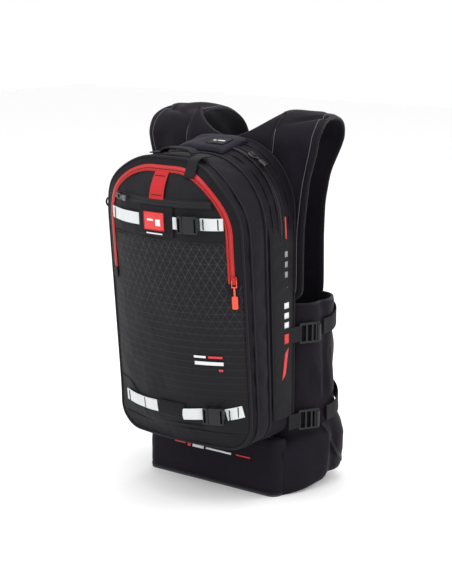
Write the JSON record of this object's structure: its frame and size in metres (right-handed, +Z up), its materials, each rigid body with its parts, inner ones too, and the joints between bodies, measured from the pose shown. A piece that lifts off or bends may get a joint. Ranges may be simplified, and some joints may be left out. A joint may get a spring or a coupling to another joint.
{
  "type": "avalanche airbag vest pack",
  "caption": "Vest-style ski backpack with a folding front flap, zips, release buckles, side adjusters and a trigger-fired gas inflation system.",
  "frame": {"origin": "at the hem's height, on the centre line, in the plane where the back pad meets the wearer", "axes": "+Z up, +X the wearer's right, +Y the way the wearer faces; the pack's outer face looks along -Y"},
  "size_m": [0.332, 0.3292, 0.6028],
  "materials": {
    "body_cloth": "dark softshell with a matt face",
    "front_cloth": "quilted ripstop with fine light lines",
    "zip_tape": "coated zip tape",
    "light_webbing": "woven light grey webbing",
    "dark_webbing": "woven black webbing",
    "sleeve_cloth": "coated black cloth",
    "buckle_plastic": "moulded, slightly glossy",
    "zip_metal": "dark plated metal",
    "pull_red": "soft moulded red",
    "printed_band": "coated cloth with printed marks",
    "pad_mesh": "spacer mesh over foam",
    "base_plastic": "stiff plastic sheet",
    "aluminium": "machined",
    "cylinder_paint": "satin paint",
    "pin_steel": "ground",
    "airbag_cloth": "coated nylon, folded",
    "housing": "cable housing",
    "handle_plastic": "moulded T-grip",
    "pocket_cloth": "same cloth as the vest"
  },
  "bodies": {
    "pack": {"airbags": "airbag_cloth", "back_pad": "pad_mesh", "base_panel": "base_plastic", "burst_covers": "printed_band", "divider_panel": "body_cloth", "flank_anchors": "dark_webbing", "flanks_back": "body_cloth", "frame_sheet": "base_plastic", "frame_stays": "aluminium", "front_panel": "front_cloth", "gear_shell": "body_cloth", "haul_handle": "body_cloth", "hip_pad_back": "body_cloth", "inflator_head": "aluminium", "lower_buckle_socket": "buckle_plastic", "lower_carry_strap": "light_webbing", "lower_sleeve": "sleeve_cloth", "lumbar_block": "body_cloth", "rear_shell": "body_cloth", "top_flap": "body_cloth", "trigger_housing_pack": "housing", "venturi_duct": "aluminium", "vest_back": "body_cloth", "zip_tape_body": "zip_tape"},
    "front_flap": {"front_flap": "front_cloth", "zip_tape_flap": "zip_tape", "upper_carry_strap": "light_webbing", "upper_sleeve": "sleeve_cloth", "upper_buckle_socket": "buckle_plastic"},
    "upper_prongs": {"upper_buckle_prongs": "buckle_plastic"},
    "lower_prongs": {"lower_buckle_prongs": "buckle_plastic"},
    "front_slider": {"front_zip_slider": "zip_metal"},
    "front_pull": {"front_zip_pull": "pull_red"},
    "main_slider": {"main_zip_slider": "zip_metal"},
    "main_pull": {"main_zip_pull": "zip_metal"},
    "pocket_slider": {"pocket_zip_slider": "zip_metal"},
    "pocket_pull": {"pocket_zip_pull": "zip_metal"},
    "vest_left": {"harness_left": "body_cloth", "flank_front_left": "body_cloth", "hip_front_left": "body_cloth", "flank_straps_left": "dark_webbing", "closure_straps_left": "dark_webbing", "closure_sockets": "buckle_plastic", "handle_pocket": "pocket_cloth", "trigger_housing_strap": "housing"},
    "vest_right": {"harness_right": "body_cloth", "flank_front_right": "body_cloth", "hip_front_right": "body_cloth", "flank_straps_right": "dark_webbing", "closure_straps_right": "dark_webbing"},
    "chest_upper_prongs": {"chest_upper_prongs": "buckle_plastic"},
    "chest_lower_prongs": {"chest_lower_prongs": "buckle_plastic"},
    "hip_prongs": {"hip_prongs": "buckle_plastic"},
    "trigger_handle": {"trigger_handle": "handle_plastic"},
    "piercing_pin": {"piercing_pin": "pin_steel"},
    "gas_cylinder": {"gas_cylinder": "cylinder_paint"},
    "upper_lock_left": {"upper_ladder_lock_left": "buckle_plastic"},
    "lower_lock_left": {"lower_ladder_lock_left": "buckle_plastic"},
    "upper_lock_right": {"upper_ladder_lock_right": "buckle_plastic"},
    "lower_lock_right": {"lower_ladder_lock_right": "buckle_plastic"}
  },
  "joints": [
    {"name": "flap_fold", "type": "hinge", "parent": "pack", "child": "front_flap", "pos_m": [0, -0.18595, 0.3411], "axis": [1, 0, 0], "range_deg": [0, 100]},
    {"name": "front_zip_run", "type": "slide", "parent": "pack", "child": "front_slider", "axis": [0, -0.0872, 0.9962], "range_m": [0, 0.0535]},
    {"name": "front_pull_swing", "type": "hinge", "parent": "front_slider", "child": "front_pull", "pos_m": [0.12029, -0.16134, 0.36247], "axis": [-0.8733, -0.4853, -0.0425], "range_deg": [0, 165]},
    {"name": "main_zip_run", "type": "hinge", "parent": "pack", "child": "main_slider", "pos_m": [0.022, -0.062, 0.44], "axis": [0, 1, 0], "range_deg": [0, 57]},
    {"name": "main_pull_swing", "type": "hinge", "parent": "main_slider", "child": "main_pull", "pos_m": [0.07925, -0.062, 0.53916], "axis": [0, -1, 0], "range_deg": [0, 165]},
    {"name": "pocket_zip_run", "type": "hinge", "parent": "front_flap", "child": "pocket_slider", "pos_m": [0, 0.04354, 0.49483], "axis": [0, -0.0872, 0.9962], "range_deg": [0, 37.12]},
    {"name": "pocket_pull_swing", "type": "hinge", "parent": "pocket_slider", "child": "pocket_pull", "pos_m": [-0.0857, -0.18714, 0.47465], "axis": [0, 0.0872, -0.9962], "range_deg": [0, 165]},
    {"name": "upper_buckle_release", "type": "slide", "parent": "front_flap", "child": "upper_prongs", "axis": [-0.9775, -0.2099, -0.0184], "range_m": [0, 0.02]},
    {"name": "lower_buckle_release", "type": "slide", "parent": "pack", "child": "lower_prongs", "axis": [-0.9534, -0.3005, -0.0263], "range_m": [0, 0.02]},
    {"name": "upper_lock_right_tilt", "type": "hinge", "parent": "pack", "child": "upper_lock_right", "pos_m": [0.1367, -0.01376, 0.257], "axis": [0, 0, -1], "range_deg": [0, 35]},
    {"name": "upper_lock_left_tilt", "type": "hinge", "parent": "pack", "child": "upper_lock_left", "pos_m": [-0.1367, -0.01376, 0.257], "axis": [0, 0, 1], "range_deg": [0, 35]},
    {"name": "lower_lock_right_tilt", "type": "hinge", "parent": "pack", "child": "lower_lock_right", "pos_m": [0.1367, -0.01376, 0.116], "axis": [0, 0, -1], "range_deg": [0, 35]},
    {"name": "lower_lock_left_tilt", "type": "hinge", "parent": "pack", "child": "lower_lock_left", "pos_m": [-0.1367, -0.01376, 0.116], "axis": [0, 0, 1], "range_deg": [0, 35]},
    {"name": "vest_left_open", "type": "hinge", "parent": "pack", "child": "vest_left", "pos_m": [-0.168, 0.02, 0.2], "axis": [0, 0, 1], "range_deg": [0, 40]},
    {"name": "vest_right_open", "type": "hinge", "parent": "pack", "child": "vest_right", "pos_m": [0.168, 0.02, 0.2], "axis": [0, 0, -1], "range_deg": [0, 40]},
    {"name": "chest_upper_clip", "type": "slide", "parent": "vest_right", "child": "chest_upper_prongs", "axis": [-1, 0, 0], "range_m": [0, 0.02]},
    {"name": "chest_lower_clip", "type": "slide", "parent": "vest_right", "child": "chest_lower_prongs", "axis": [-1, 0, 0], "range_m": [0, 0.02]},
    {"name": "hip_clip", "type": "slide", "parent": "vest_right", "child": "hip_prongs", "axis": [-1, 0, 0], "range_m": [0, 0.02]},
    {"name": "trigger_pull", "type": "slide", "parent": "vest_left", "child": "trigger_handle", "axis": [0, 0, -1], "range_m": [0, 0.06]},
    {"name": "pin_stroke", "type": "slide", "parent": "pack", "child": "piercing_pin", "axis": [0, 0, -1], "range_m": [0, 0.005]},
    {"name": "cylinder_removal", "type": "slide", "parent": "pack", "child": "gas_cylinder", "axis": [0, 0, -1], "range_m": [0, 0.02]}
  ],
  "couplings": [
    {"joint": "pin_stroke", "follows": "trigger_pull", "ratio": 0.083333}
  ]
}
